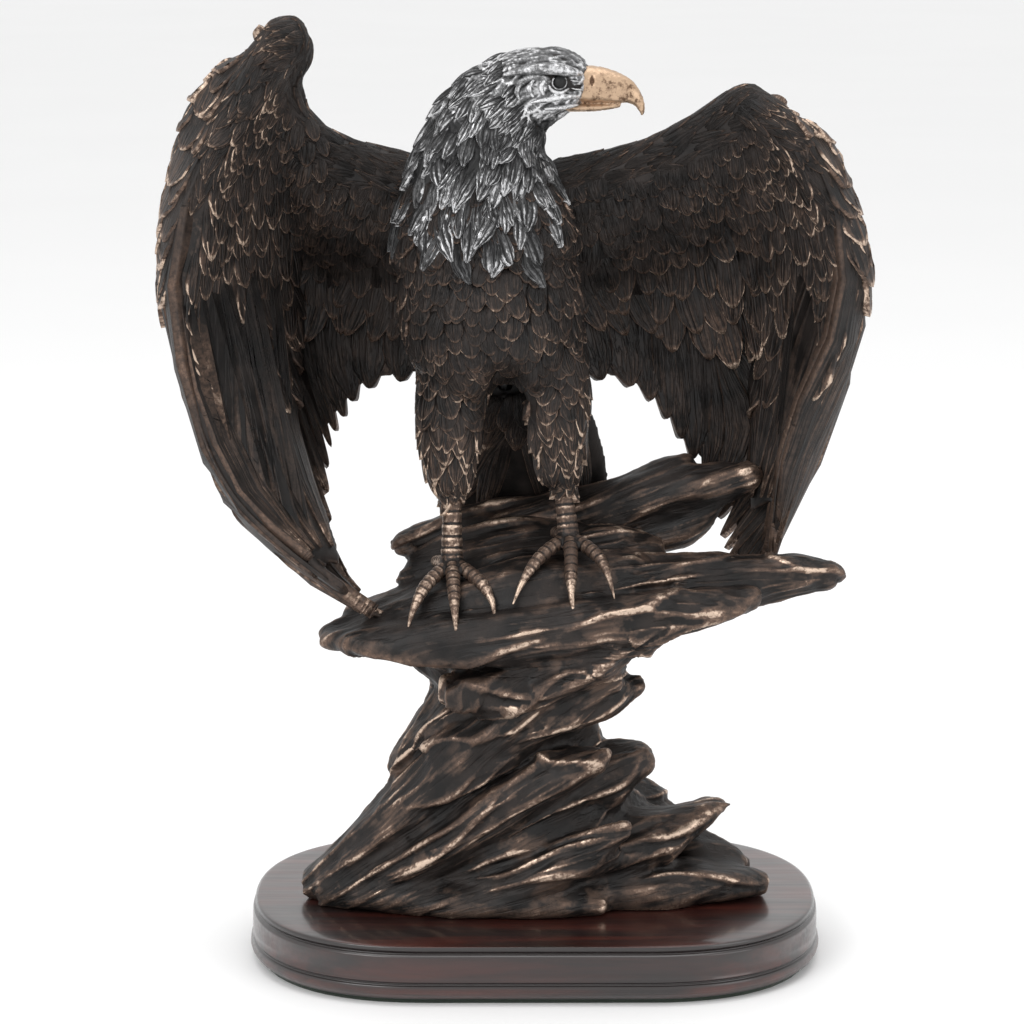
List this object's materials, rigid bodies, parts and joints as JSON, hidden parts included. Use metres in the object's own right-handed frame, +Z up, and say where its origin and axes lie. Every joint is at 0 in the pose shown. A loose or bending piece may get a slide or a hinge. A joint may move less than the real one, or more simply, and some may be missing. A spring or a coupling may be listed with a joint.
{
  "type": "eagle statuette",
  "caption": "Perched eagle with raised, cupped wings on a driftwood-shaped base, fixed to an oval moulded wooden plinth.",
  "frame": {"origin": "middle of the felt underside of the plinth", "axes": "+Z up, the eagle's chest faces -Y, +X to the right of a viewer who stands in front of it"},
  "size_m": [0.2611, 0.142, 0.3543],
  "materials": {
    "stained_wood": "glossy dark red-brown stain",
    "felt": "felt",
    "bronze": "dark patina with rubbed golden highlights",
    "silver_patina": "antique silver over dark recesses",
    "gilt": "satin gold",
    "steel": "plain"
  },
  "bodies": {
    "root": {"plinth": "stained_wood", "felt_pad": "felt", "plinth_screw_left": "steel", "screw_washer_left": "steel", "plinth_screw_right": "steel", "screw_washer_right": "steel", "stump_casting": "bronze", "perch_casting": "bronze", "branch_casting": "bronze", "torso_casting": "bronze", "head_casting": "silver_patina", "beak": "gilt", "foot_left": "bronze", "thigh_left": "bronze", "foot_right": "bronze", "thigh_right": "bronze", "tail_casting": "bronze", "wing_left": "bronze", "wing_right": "bronze", "neck_dowel": "steel", "wing_dowel_left": "steel", "wing_dowel_right": "steel", "tail_dowel": "steel", "leg_rod_left": "steel", "leg_rod_right": "steel", "perch_dowel_left": "steel", "perch_dowel_right": "steel", "branch_dowel_left": "steel", "branch_dowel_right": "steel"}
  },
  "joints": []
}
